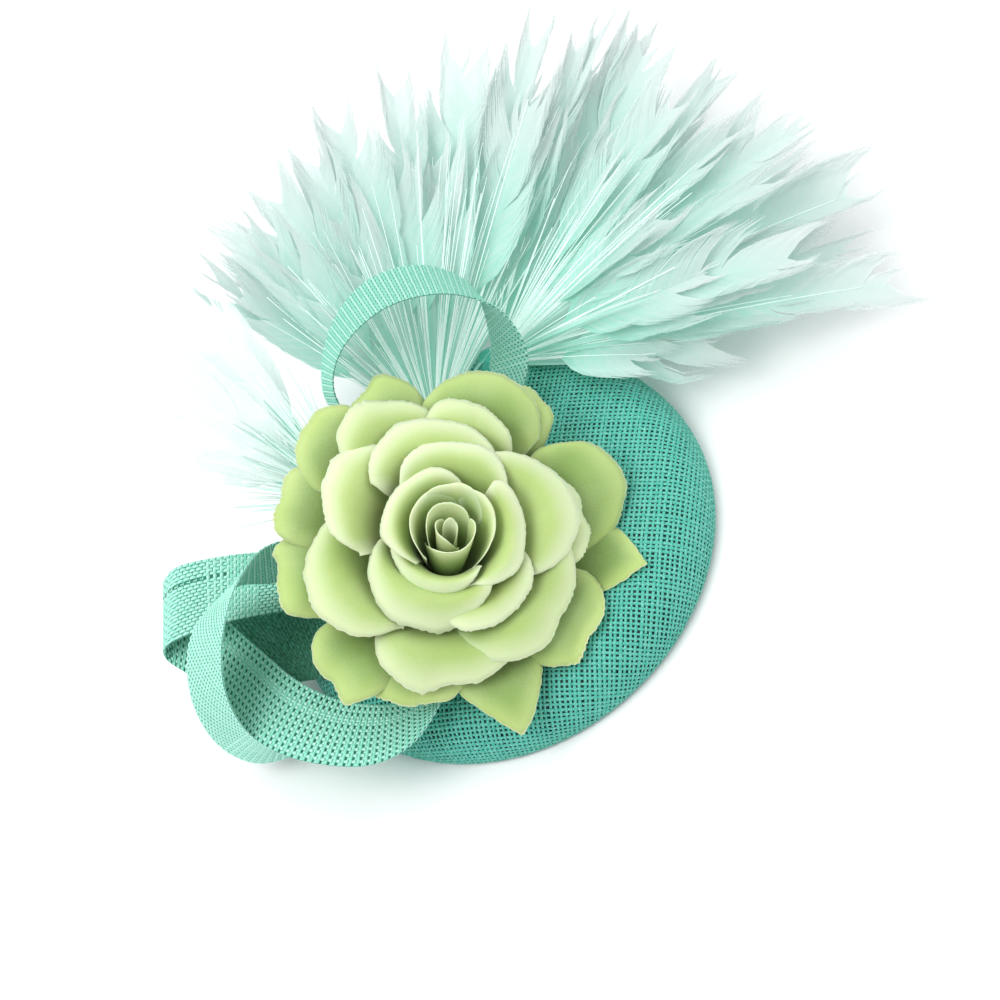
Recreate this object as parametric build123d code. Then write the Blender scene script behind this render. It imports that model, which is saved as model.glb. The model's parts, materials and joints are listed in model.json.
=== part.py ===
"""Fascinator headpiece: a blocked sinamay cap with a silk rose, three ribbon loops and a fan of plumes.

Millimetres, +Z up. The origin is the centre of the plane that the cap's rim rests on, and -Y is the wearer's front.
"""

from build123d import *
from math import asin, cos, hypot, pi, radians, sin, sqrt, tan
import os

# Cap
CAP_RADIUS = 83.0
CAP_HEIGHT = 28.0
CAP_WALL = 2.5  # straight wall below the shoulder
CAP_SHOULDER = 18.0  # radius of the shoulder
CAP_SIDES = 48  # flat facets round the cap
SHOULDER_STEPS = 4
CROWN_STEPS = 3
SINAMAY = 0.8  # two bonded layers of weave
BASE_SHELL = 1.2
LINING = 0.4
BAND = 0.5
BAND_HEIGHT = 12.0
HEM_HEIGHT = 9.0
WIRE = 1.2  # diameter of the rim wire, whose thread cover is a little flat-sided
WIRE_SIDES = 6
LAY = 0.1  # clearance between pieces that lie on each other

# Hair clips
CLIP_REACH = 38.0  # from the cap's axis to each clip
CLIP_WIDTH = 8.0
CLIP_SHEET = 0.5
CLIP_FRONT = 30.0  # hinge to the jaws' tips
CLIP_REAR = 15.0  # hinge to the end of the handle
CLIP_DROP = 2.6  # pin's centre below the base strip's upper face
CLIP_EAR = 3.2  # half the length of an ear
HANDLE_SLOPE = 34.0
PIN = 1.4  # diameter of the hinge pin
PIN_FIT = 0.05
EAR_FIT = 0.12
TEETH = 6
PAD_LENGTH = 52.0
PAD_WIDTH = 15.0
PAD_THIN = 0.9  # thinnest place of a felt pad
THREAD = 0.5

# The trim is laid out on a plane that leans back from the wearer's face
LEAN = 52.0

# Rose
ROSE_SEAT = (-17.0, -5.0)
ROSE_AXIS = (0.20, 0.17, 0.965)  # across, up and out of the leaning plane
HUB_FOOT = 9.0  # radius of the hub where it meets the backing
HUB_SIDES = 16
HUB_PROFILE = ((6.2, 5.0), (3.0, 26.0), (2.0, 34.0))  # radius and height up the hub
BACKING_RADIUS = 19.0
BACKING = 1.6
PETAL = 0.5
PETAL_FOLDS = 3  # flat facets across a petal
PETAL_SEAT = 0.4  # gap between the hub and a petal's root
# name, petals, turn, half width, lap, root height, and the meridian's other three (radius, height) control points
PETAL_RINGS = [
    ("outer_petals", 8, 8.0, 24.0, 1.0, 6.0, ((22, 14), (44, 36), (64, 27))),
    ("wide_petals", 6, 30.0, 24.0, 1.0, 9.5, ((20, 17), (38, 41), (52, 35))),
    ("middle_petals", 5, 4.0, 22.0, 1.0, 13.0, ((19, 21), (29, 46), (41, 43))),
    ("inner_petals", 4, 40.0, 19.5, 1.0, 16.5, ((17, 24), (20, 47), (29, 50))),
    ("cup_petals", 4, 0.0, 12.5, 0.8, 20.5, ((13, 25), (11, 45), (15.5, 53))),
    ("bud_petals", 3, 20.0, 8.5, 0.7, 26.0, ((8, 29), (5, 44), (8.4, 51.5))),
]
# share of the petal's length, and share of its full width there
PETAL_OUTLINE = ((0.0, 0.08), (0.3, 0.62), (0.62, 1.0), (0.88, 0.84), (1.0, 0.3))

# Ribbon
RIBBON = 0.6
RIBBON_STEPS = 3
# Pairs of points on the near and the far edge: (x, y) on the cap, or (across, up, out) of the leaning plane
FRONT_LOOP = (
    ((-30, 24), (-33, 33)),
    ((-57, 59, 33), (-66, 48, 9)),
    ((-75, 59, 45), (-82, 58, 16)),
    ((-93, 48, 50), (-104, 55, 24)),
    ((-106, 33, 48), (-119, 39, 22)),
    ((-111, 17, 42), (-124, 19, 16)),
    ((-108, 5, 33), (-117, 3, 10)),
    ((-98, 3, 26), (-100, -2, 11)),
    ((-86, 12, 22), (-83, 22, 3)),
    ((-72, 14, 20), (-68, 30, 3)),
    ((-60, 3), (-56, 16)),
)
BACK_LOOP = (
    ((-40, 2), (-36, 12)),
    ((-62, 32, 14), (-50, 50, -5)),
    ((-78, 42, 10), (-63, 59, -6)),
    ((-92, 50, 12), (-77, 69, -3)),
    ((-106, 56, 14), (-91, 77, -1)),
    ((-115, 58, 14), (-98, 78, -1)),
    ((-118, 54, 10), (-102, 74, -6)),
    ((-115, 43, 14), (-94, 58, -2)),
    ((-112, 25, 28), (-90, 36, 12)),
    ((-110, 8, 40), (-86, 17, 27)),
    ((-101, -8, 47), (-79, 2, 33)),
    ((-85, -23, 52), (-69, -9, 39)),
    ((-67, -27, 56), (-58, -16, 45)),
    ((-48, -21, 55), (-43, -17, 47)),
    ((-31, -33), (-30, -24)),
)
ARCH_LOOP = (
    ((-6, 37), (-7, 46)),
    ((-9, 68, 15), (-11, 74, -8)),
    ((-7, 87, 27), (-10, 91, 0)),
    ((6, 97, 34), (6, 106, 6)),
    ((26, 98, 37), (28, 111, 10)),
    ((44, 90, 34), (48, 102, 7)),
    ((55, 78, 27), (57, 84, -2)),
    ((59, 66, 22), (50, 66, -6)),
    ((56, 52, 16), (43, 58, -9)),
    ((46, 43, 13), (36, 50, -4)),
    ((31, 24), (26, 33)),
)

# Plumes: rows of (turn about +Z, rise, length, width) that spread from a wrapped root at (x, y) on the cap
BINDING_RADIUS = 6.5
BINDING_SINK = 0.4  # height of the wrapped root's centre, as a share of its radius
KNOT_SIDES = 12
KNOT_BAND = 5.0  # height of the knot's straight middle
KNOT_TAPER = 45.0
QUILL = 1.0
QUILL_SEAT = 0.15
VANE = 0.5
DROOP = 0.06
PLUMES = {
    "side": ((44.0, 57.0), {
        "side_plumes": (
            (-44, 3, 100, 16), (-38, 7, 178, 20), (-33, 15, 150, 18), (-28, 3, 160, 20), (-22, 9, 172, 20),
            (-18, 17, 158, 18), (-14, 3, 158, 20), (-7, 10, 160, 20), (0, 4, 150, 18), (5, 12, 148, 20),
        ),
    }),
    "back": ((12.0, 47.0), {
        "right_plumes": (
            (24, 5, 190, 22), (27, 12, 182, 20), (31, 5, 176, 22), (35, 15, 172, 20), (39, 7, 165, 22),
            (43, 19, 160, 20), (48, 10, 152, 22), (52, 23, 146, 20),
        ),
        "back_plumes": (
            (57, 13, 142, 22), (62, 29, 136, 20), (66, 16, 132, 22), (71, 31, 128, 20), (76, 18, 126, 22),
            (82, 34, 124, 20), (87, 20, 124, 22), (93, 36, 120, 20), (98, 22, 120, 20), (106, 34, 116, 18),
        ),
    }),
    "left": ((-28.0, 45.0), {
        "left_plumes": (
            (93, 50, 118, 18), (104, 40, 112, 18), (114, 54, 108, 18), (125, 42, 100, 16), (136, 52, 90, 16),
        ),
        "spikes": (
            (80, 42, 62, 3), (82, 58, 56, 3), (102, 66, 56, 3), (124, 68, 54, 3), (146, 64, 50, 3), (150, 44, 46, 3),
        ),
    }),
}

os.makedirs("parts", exist_ok=True)


def save(name, *solids):
    """Writes one named piece, or a group of like pieces."""
    shape = solids[0] if len(solids) == 1 else Compound(children=list(solids))
    export_step(shape, f"parts/{name}.step")


def leaned(across, up, out):
    """A point given on the leaning plane, in the part's own frame."""
    c, s = cos(radians(LEAN)), sin(radians(LEAN))
    return Vector(across, s * up - c * out, c * up + s * out)


# ---------------------------------------------------------------- forms with flat facets

def faceted(front, back):
    """A closed thin sheet between two grids of points, as flat triangles."""
    faces = []

    def patch(a, b, c, d):
        for corners in ((a, b, c), (a, c, d)):
            faces.append(Face(Wire.make_polygon(corners)))

    for i in range(len(front) - 1):
        for j in range(len(front[i]) - 1):
            patch(front[i][j], front[i + 1][j], front[i + 1][j + 1], front[i][j + 1])
            patch(back[i][j], back[i][j + 1], back[i + 1][j + 1], back[i + 1][j])
        for j, turned in ((0, 1), (-1, -1)):
            patch(*(front[i][j], back[i][j], back[i + 1][j], front[i + 1][j])[::turned])
    for j in range(len(front[0]) - 1):
        for i, turned in ((0, -1), (-1, 1)):
            patch(*(front[i][j], back[i][j], back[i][j + 1], front[i][j + 1])[::turned])
    return Solid(Shell(faces))


def sided(corners, sides=CAP_SIDES):
    """A many-sided round solid, from a loop of corners (radius, height) that may run along the axis."""
    faces = []
    turns = [2 * pi * i / sides for i in range(sides)]
    for (r, z), (s, w) in zip(corners, corners[1:] + corners[:1]):
        for a, b in zip(turns, turns[1:] + turns[:1]):
            patch = []
            for radius, turn, height in ((r, a, z), (r, b, z), (s, b, w), (s, a, w)):
                point = Vector(radius * cos(turn), radius * sin(turn), height)
                if all((point - known).length > 0.001 for known in patch):
                    patch.append(point)
            if len(patch) > 2:
                faces.append(Face(Wire.make_polygon(patch)))
    return Solid(Shell(faces))


# ---------------------------------------------------------------- cap

FLANK = CAP_RADIUS - CAP_SHOULDER  # radius of the shoulder's centre
RISE = CAP_HEIGHT - CAP_WALL
CROWN = (FLANK**2 + RISE**2 - CAP_SHOULDER**2) / (2 * (RISE - CAP_SHOULDER))  # the crown's radius
CROWN_TURN = asin(FLANK / (CROWN - CAP_SHOULDER))  # where crown and shoulder meet, from the axis


def crown_height(radius, inward=0.0):
    """Height of the cap's surface, or of a surface some way inside it."""
    if radius < (CROWN - inward) * sin(CROWN_TURN):
        return CAP_HEIGHT - CROWN + sqrt((CROWN - inward) ** 2 - radius**2)
    return CAP_WALL + sqrt((CAP_SHOULDER - inward) ** 2 - (radius - FLANK) ** 2)


def section(inward, low, high=CAP_HEIGHT + CAP_RADIUS):
    """Corners (radius, height) of the cap's half section, moved inward, from a height up to another or to the axis."""
    corners = [(CAP_RADIUS - inward, 0.0)]
    for i in range(SHOULDER_STEPS + 1):
        turn = (pi / 2 - CROWN_TURN) * i / SHOULDER_STEPS
        bend = CAP_SHOULDER - inward
        corners.append((FLANK + bend * cos(turn), CAP_WALL + bend * sin(turn)))
    for i in range(1, CROWN_STEPS + 1):
        turn = CROWN_TURN * (1 - i / CROWN_STEPS)
        bow = CROWN - inward
        corners.append((bow * sin(turn), CAP_HEIGHT - CROWN + bow * cos(turn)))
    found = [corner for corner in corners if low < corner[1] < high]
    for (r, z), (s, w) in zip(corners, corners[1:]):
        for height, place in ((low, 0), (high, len(found) + 1)):
            if z <= height < w:
                found.insert(place, (r + (s - r) * (height - z) / (w - z), height))
    return found


def layer(inward, thickness, low, high=CAP_HEIGHT + CAP_RADIUS):
    """One layer of the cap, some way inside its outer face."""
    return sided(section(inward, low, high) + section(inward + thickness, low, high)[::-1])


def filled(inward, low):
    """All that lies under a surface of the cap."""
    return sided(section(inward, low) + [(0.0, low)])


def on_cap(place):
    """A point that lies on the cap."""
    return Vector(place[0], place[1], crown_height(hypot(*place)) + LAY)


def cap_normal(place):
    """The way straight out of the cap's surface."""
    radius = hypot(*place)
    if radius < CROWN * sin(CROWN_TURN):
        return Vector(*place, crown_height(radius) - CAP_HEIGHT + CROWN).normalized()
    lean = (radius - FLANK) / radius
    return Vector(place[0] * lean, place[1] * lean, crown_height(radius) - CAP_WALL).normalized()


SHELL_IN = SINAMAY + LAY
HEM_IN = SHELL_IN + BASE_SHELL + LAY
LINING_IN = HEM_IN
PAD_IN = LINING_IN + LINING + LAY


def make_cap():
    skin = section(0, 0) + section(SINAMAY, SINAMAY)[::-1]
    hem = section(HEM_IN, SINAMAY, HEM_HEIGHT) + section(HEM_IN + SINAMAY, 0, HEM_HEIGHT)[::-1]
    save("sinamay_cover", sided(skin + hem))
    save("base_shell", layer(SHELL_IN, BASE_SHELL, SINAMAY + WIRE + 2 * LAY))
    wire = []
    for i in range(WIRE_SIDES):
        turn = 2 * pi * i / WIRE_SIDES
        middle = (CAP_RADIUS - SHELL_IN - WIRE / 2, SINAMAY + LAY + WIRE / 2)
        wire.append((middle[0] + WIRE / 2 * cos(turn), middle[1] + WIRE / 2 * sin(turn)))
    save("rim_wire", sided(wire))
    save("inner_band", layer(HEM_IN + SINAMAY + LAY, BAND, SINAMAY, BAND_HEIGHT))
    save("lining", layer(LINING_IN, LINING, BAND_HEIGHT + 2 * LAY))


# ---------------------------------------------------------------- hair clips

PAD_FAR = hypot(CLIP_REACH + PAD_WIDTH / 2, PAD_LENGTH / 2)
PAD_LOW = crown_height(PAD_FAR, PAD_IN) - PAD_THIN
HINGE_Y = -CLIP_FRONT / 2 + CLIP_REAR / 2
HINGE_Z = PAD_LOW - LAY - CLIP_DROP
JAW_DEEP = CLIP_DROP + 1.7  # jaw's strip below the base strip's upper face, at the hinge


def strip(points, sheet, width):
    """A bent strip of sheet metal across the clip, along a path in the clip's own section (y, z)."""
    path = Polyline(*[(y, z) for y, z in points])
    face = make_face(path.offset_2d(sheet / 2, kind=Kind.ARC, side=Side.BOTH).edges())
    return extrude(Plane.YZ * face, width / 2, both=True)


def plate(points, x, sheet):
    """A flat ear that stands along the clip."""
    return extrude(Plane.YZ.offset(x) * make_face(Polyline(*points, close=True)), sheet / 2, both=True)


def make_clip(name, place):
    """A sprung clip: its base strip is uppermost, its jaw and handle are below. The pin is the origin."""
    top = CLIP_DROP - CLIP_SHEET / 2
    low = CLIP_DROP - JAW_DEEP
    half = CLIP_WIDTH / 2
    bore = Rot(0, 90, 0) * Cylinder(PIN / 2 + PIN_FIT, 3 * CLIP_WIDTH)
    ear_x = half - CLIP_SHEET / 2
    jaw_x = half - CLIP_SHEET - EAR_FIT - CLIP_SHEET / 2

    base = strip(((-CLIP_REAR + 1, top), (CLIP_FRONT - 1, top), (CLIP_FRONT, top - 0.4)), CLIP_SHEET, CLIP_WIDTH)
    for side in (-1, 1):
        ear = ((-CLIP_EAR, top), (CLIP_EAR, top), (1.2, -1.4), (-1.2, -1.4))
        base += plate(ear, side * ear_x, CLIP_SHEET)
    base = (base - bore).solid()

    slope = radians(HANDLE_SLOPE)
    bend = -CLIP_EAR - 0.6
    end = -CLIP_REAR
    tip = top - CLIP_SHEET - 0.75
    line = (
        (end, low - (bend - end) * tan(slope)),
        (bend, low),
        (CLIP_EAR + 0.4, low),
        (CLIP_FRONT - 6, tip),
        (CLIP_FRONT, tip),
    )
    jaw = strip(line, CLIP_SHEET, 2 * jaw_x + CLIP_SHEET)
    for side in (-1, 1):
        ear = ((-CLIP_EAR, low), (CLIP_EAR, low), (1.2, 1.3), (-1.2, 1.3))
        jaw += plate(ear, side * jaw_x, CLIP_SHEET)
    for i in range(TEETH):
        y = CLIP_FRONT - 0.8 - i
        tooth = ((y - 0.4, tip), (y + 0.4, tip), (y, tip + CLIP_SHEET / 2 + 0.45))
        jaw += plate(tooth, 0, 2 * jaw_x)
    jaw = (jaw - bore).solid()

    pin = Rot(0, 90, 0) * Cylinder(PIN / 2, CLIP_WIDTH + 0.8)
    for side in (-1, 1):
        pin += Pos(side * (half + 0.3), 0, 0) * Rot(0, 90, 0) * Cylinder(PIN / 2 + 0.5, 0.4)

    leaf = 0.3
    wrap = PIN / 2 + leaf / 2 + 0.2
    rear = -CLIP_REAR + 4
    rest = CLIP_SHEET / 2 + leaf / 2 + LAY
    top_leg = top - rest
    low_leg = low - (bend - rear) * tan(slope) + rest / cos(slope)
    kink = bend - rest * (1 / cos(slope) - 1) / tan(slope)
    bow = [(wrap * sin(radians(a)), wrap * cos(radians(a))) for a in range(0, 181, 30)]
    spring = strip([(rear, top_leg), (-2.4, top_leg - 0.2)] + bow + [(kink, low + rest), (rear, low_leg)], leaf, 4.0)

    stitches = []
    for y in (6.0, -CLIP_REAR + 2.2):
        under = top - CLIP_SHEET / 2 - LAY - THREAD / 2
        side = half + LAY + THREAD / 2
        loop = Polyline((-side, CLIP_DROP + LAY / 2), (-side, under), (side, under), (side, CLIP_DROP + LAY / 2))
        face = make_face(loop.offset_2d(THREAD / 2, kind=Kind.INTERSECTION, side=Side.BOTH).edges())
        bar = extrude(Plane.XZ.offset(-y) * face, THREAD / 2, both=True)
        keep = Pos(0, y, CLIP_DROP + LAY / 2 - 5) * Box(4 * half, 2, 10)
        stitches.append((bar & keep).solid())

    save(f"{name}_clip_base", place * base)
    save(f"{name}_clip_jaw", place * jaw)
    save(f"{name}_clip_pin", place * pin.solid())
    save(f"{name}_clip_spring", place * spring.solid())
    save(f"{name}_clip_stitches", *[place * s for s in stitches])


def make_clips():
    for name, side in (("left", -1), ("right", 1)):
        x = side * CLIP_REACH
        make_clip(name, Pos(x, HINGE_Y, HINGE_Z))
        block = Rectangle(PAD_WIDTH, PAD_LENGTH)
        column = Pos(x, 0, PAD_LOW) * extrude(block, CAP_HEIGHT)
        save(f"{name}_clip_pad", (column & filled(PAD_IN, 0)).solid())


# ---------------------------------------------------------------- rose

ROSE_Z = leaned(*ROSE_AXIS).normalized()
ROSE_FOOT = Vector(ROSE_SEAT[0], ROSE_SEAT[1], crown_height(hypot(*ROSE_SEAT)) + LAY + BACKING)
ROSE = Plane(origin=ROSE_FOOT, x_dir=ROSE_Z.cross(Vector(0, -1, 0)), z_dir=ROSE_Z)


def hub_radius(height):
    """Radius of the hub at the height of a petal's root."""
    (wide, low), (narrow, high) = HUB_PROFILE[:2]
    return wide + (narrow - wide) * (height - low) / (high - low)


def bezier(points, t):
    """A point and a tangent of a cubic curve in (radius, height)."""
    u = 1 - t
    weights = (u**3, 3 * u * u * t, 3 * u * t * t, t**3)
    rates = (-u * u, u * u - 2 * u * t, 2 * u * t - t * t, t * t)
    place = [sum(w * p[i] for w, p in zip(weights, points)) for i in (0, 1)]
    rate = [sum(w * p[i] for w, p in zip(rates, points)) for i in (0, 1)]
    return place, rate


def petal(meridian, turn, half_width, lap):
    """One cupped petal, as rows of points along its meridian. One side lies over its neighbour."""
    front, back = [], []
    for share, width in PETAL_OUTLINE:
        (r, z), (dr, dz) = bezier(meridian, share)
        out = Vector(-dz, dr).normalized()
        reach = half_width * width / r
        for grid, depth in ((front, 0), (back, -PETAL)):
            row = []
            for i in range(PETAL_FOLDS + 1):
                side = 2 * i / PETAL_FOLDS - 1
                lift = lap * side * min(1, 2 * share) + depth
                radius = r + out.X * lift
                angle = radians(turn) + side * reach
                row.append(ROSE.from_local_coords(Vector(radius * cos(angle), radius * sin(angle), z + out.Y * lift)))
            grid.append(row)
    return faceted(front, back)


def make_rose():
    x, y = ROSE_SEAT
    disc = Pos(x, y, 0) * extrude(Circle(BACKING_RADIUS), 2 * CAP_HEIGHT)
    raised = filled(-LAY - BACKING, 0)
    save("rose_backing", (disc & raised - filled(-LAY, 0)).solid())
    hub = sided([(0, -BACKING), (HUB_FOOT, -BACKING), *HUB_PROFILE, (0, HUB_PROFILE[-1][1] + 1)], HUB_SIDES)
    seat = Plane(origin=on_cap(ROSE_SEAT) + cap_normal(ROSE_SEAT) * (BACKING + LAY), z_dir=cap_normal(ROSE_SEAT))
    save("rose_hub", split(ROSE.location * hub, bisect_by=seat, keep=Keep.TOP).solid())
    for name, count, turn, half_width, lap, height, bow in PETAL_RINGS:
        meridian = ((hub_radius(height) + PETAL_SEAT, height), *bow)
        ring = [petal(meridian, turn + i * 360 / count, half_width, lap) for i in range(count)]
        save(name, *ring)


# ---------------------------------------------------------------- ribbon

def trim_point(at):
    """A point of a ribbon's edge: its ends lie on the cap, and the rest hangs free."""
    return on_cap(at) + Vector(0, 0, RIBBON / 2 + LAY) if len(at) == 2 else leaned(*at)


def smoothed(points, steps):
    """Points along the smooth curve through some given ones."""
    path = [points[0] * 2 - points[1]] + points + [points[-1] * 2 - points[-2]]
    found = []
    for a, b, c, d in zip(path, path[1:], path[2:], path[3:]):
        for i in range(steps):
            t = i / steps
            bow = (c - a) * t + (a * 2 - b * 5 + c * 4 - d) * t**2 + (b * 3 - a - c * 3 + d) * t**3
            found.append(b + bow / 2)
    return found + [points[-1]]


def ribbon(pairs):
    """A flat ribbon between two edges."""
    near, far = [smoothed([trim_point(at) for at in edge], RIBBON_STEPS) for edge in zip(*pairs)]
    middle = [(a + b) / 2 for a, b in zip(near, far)]
    front, back = [], []
    for i, (a, b) in enumerate(zip(near, far)):
        ahead = middle[min(i + 1, len(middle) - 1)] - middle[max(i - 1, 0)]
        up = (b - a).cross(ahead).normalized() * (RIBBON / 2)
        front.append([a + up, b + up])
        back.append([a - up, b - up])
    return faceted(front, back)


def make_ribbons():
    save("front_loop", ribbon(FRONT_LOOP))
    save("back_loop", ribbon(BACK_LOOP))
    save("arch_loop", ribbon(ARCH_LOOP))


# ---------------------------------------------------------------- plumes

def plume(root, turn, rise, length, width):
    """A stripped quill that widens to a soft blade and droops a little."""
    a, e = radians(turn), radians(rise)
    ahead = Vector(cos(a) * cos(e), sin(a) * cos(e), sin(e))
    across = Vector(-sin(a), cos(a), 0)
    up = ahead.cross(across) * -1
    start = BINDING_RADIUS + QUILL_SEAT
    upper, lower = [], []
    for share, breadth, depth in (
        (0, QUILL, QUILL), (0.4, QUILL, QUILL * 0.7), (0.55, width * 0.7, VANE), (0.8, width, VANE), (1, width * 0.3, VANE)
    ):
        place = root + ahead * (start + share * length) - Vector(0, 0, 1) * (share**2 * length * DROOP)
        w, h = across * (breadth / 2), up * (depth / 2)
        upper.append([place + w + h, place - w + h])
        lower.append([place + w - h, place - w - h])
    return faceted(upper, lower)


def wound_knot(place, root):
    """The drum of thread that binds the quills: straight in the middle, drawn in above and below, with a flat seat."""
    half = KNOT_BAND / 2
    ring = RegularPolygon(sqrt(BINDING_RADIUS**2 - half**2), KNOT_SIDES)
    knot = extrude(ring, half, both=True)
    for side in (-1, 1):
        end = Plane(origin=(0, 0, side * half), z_dir=(0, 0, side))
        knot += extrude(end * ring, BINDING_RADIUS - half - 1, taper=KNOT_TAPER)
    seat = Plane(origin=on_cap(place), z_dir=cap_normal(place))
    return split(Pos(*root) * knot, bisect_by=seat, keep=Keep.TOP).solid()


def make_plumes():
    for side, (place, groups) in PLUMES.items():
        root = on_cap(place) + Vector(0, 0, BINDING_SINK * BINDING_RADIUS)
        save(f"{side}_binding", wound_knot(place, root))
        for name, rows in groups.items():
            save(name, *[plume(root, *row) for row in rows])


make_cap()
make_clips()
make_rose()
make_ribbons()
make_plumes()
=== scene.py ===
"""Looks of the fascinator headpiece: woven cap and ribbon loops, silk rose, plumes, lining and hair clips."""

import json
import random
from math import asin, atan2, cos, hypot, pi, radians, sin, sqrt

import bmesh
import bpy
from mathutils import Matrix, Vector
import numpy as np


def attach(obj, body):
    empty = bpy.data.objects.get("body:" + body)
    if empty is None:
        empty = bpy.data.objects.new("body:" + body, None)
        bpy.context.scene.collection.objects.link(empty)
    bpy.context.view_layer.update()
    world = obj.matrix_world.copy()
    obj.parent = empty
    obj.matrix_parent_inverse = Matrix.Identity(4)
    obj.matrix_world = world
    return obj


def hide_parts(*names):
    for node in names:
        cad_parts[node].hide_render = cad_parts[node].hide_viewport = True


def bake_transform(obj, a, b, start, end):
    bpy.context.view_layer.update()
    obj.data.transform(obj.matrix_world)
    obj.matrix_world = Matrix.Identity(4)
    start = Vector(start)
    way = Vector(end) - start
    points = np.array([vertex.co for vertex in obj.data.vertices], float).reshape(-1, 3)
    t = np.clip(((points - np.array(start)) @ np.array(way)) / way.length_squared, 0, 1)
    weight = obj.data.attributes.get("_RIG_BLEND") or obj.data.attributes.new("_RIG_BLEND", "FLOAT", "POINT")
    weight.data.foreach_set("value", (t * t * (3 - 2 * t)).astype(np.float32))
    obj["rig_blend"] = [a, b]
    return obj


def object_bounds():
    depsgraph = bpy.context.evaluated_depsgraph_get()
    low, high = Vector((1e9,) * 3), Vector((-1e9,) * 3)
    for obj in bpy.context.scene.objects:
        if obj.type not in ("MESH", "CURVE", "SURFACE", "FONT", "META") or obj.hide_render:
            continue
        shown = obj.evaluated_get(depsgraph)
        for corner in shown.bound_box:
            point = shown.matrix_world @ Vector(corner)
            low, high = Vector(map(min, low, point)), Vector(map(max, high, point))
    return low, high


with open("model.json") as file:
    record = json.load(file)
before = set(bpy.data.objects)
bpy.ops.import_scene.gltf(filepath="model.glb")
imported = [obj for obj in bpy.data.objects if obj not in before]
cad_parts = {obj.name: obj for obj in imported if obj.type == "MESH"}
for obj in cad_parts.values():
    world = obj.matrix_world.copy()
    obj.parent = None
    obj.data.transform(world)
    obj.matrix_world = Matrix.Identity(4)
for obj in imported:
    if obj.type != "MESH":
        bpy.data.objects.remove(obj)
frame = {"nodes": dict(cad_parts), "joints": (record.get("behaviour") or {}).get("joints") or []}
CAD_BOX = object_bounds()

bl_info = {
    "name": "Fascinator headpiece",
    "version": (1, 0, 0),
    "blender": (4, 5, 0),
    "location": "3D View > Sidebar > Headpiece",
    "description": "Woven cap, ribbon loops, silk rose, plumes, lining and hair clips",
    "category": "Object",
}

MM = 0.001

# The cap's section, in millimetres
CAP_RADIUS = 83.0
CAP_HEIGHT = 28.0
CAP_WALL = 2.5
CAP_SHOULDER = 18.0
CAP_THICK = 3.0
FLANK = CAP_RADIUS - CAP_SHOULDER
RISE = CAP_HEIGHT - CAP_WALL
CROWN = (FLANK**2 + RISE**2 - CAP_SHOULDER**2) / (2 * (RISE - CAP_SHOULDER))
CROWN_TURN = asin(FLANK / (CROWN - CAP_SHOULDER))

LEAN = radians(52.0)  # the trim faces out of a plane that leans back
ROLL = radians(41.15)  # turn of the camera about its own axis
VIEW = Vector((0, -cos(LEAN), sin(LEAN)))

# The view from the front, in metres
VIEW_CENTRE = (0.01285, 0.01797, 0)
VIEW_WIDTH = 0.37
CAMERA_AWAY = 1.8
SENSOR = 36  # width of the camera's sensor, in its own millimetres

# The floor, in metres: how far it reaches, and its gap under the rim
FLOOR_REACH = 6.0
FLOOR_GAP = 0.0015
FLOOR_OPENING = CAP_RADIUS - 6  # the floor is open under the cap, so that light reaches its inside
# Each light's place from the object on the leaning plane, its size in metres and its power
LIGHTS = {
    "key light": ((-0.9, 1.1, 1.5), 1.2, 22.0),
    "fill light": ((1.5, -0.2, 1.2), 1.4, 9.0),
    "top light": ((0.2, 1.6, 0.7), 1.2, 12.0),
}
LIT_POINT = Vector((0.012, 0.014, 0.02))
SKY = (0.97, 0.98, 1.0)
SKY_POWER = 0.72

# Weaves and cloths, in millimetres
CAP_THREAD = 0.28
CAP_LIFT = 0.42  # middle of a thread's wave, off the cap
RIBBON_THREAD = 0.3
RIBBON_CORE = 0.16
RIBBON_SEAT = 0.5  # a ribbon's ends, off the cap
WAVE = 0.2  # how far a thread goes over and under those that cross it
LINING_INSET = 2.75
LINING_CLOTH = 0.25

ROSE_SEAT = (-17.0, -5.0)
ROSE_AXIS = (0.20, 0.17, 0.965)
BACKING = 1.7

# Shares of a ribbon's length that lie inside its loop and get painted shade there: up to the first, and from the
# second
SHADED_SHARES = {"front_loop": (0.14, 0.70), "back_loop": (0.0, 0.97), "arch_loop": (0.05, 0.95)}
BASE_SHADE = {"front_loop": 0.0, "back_loop": 0.02, "arch_loop": 0.22}  # painted shade over the rest of a ribbon: how far it leans to the shade colour
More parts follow.
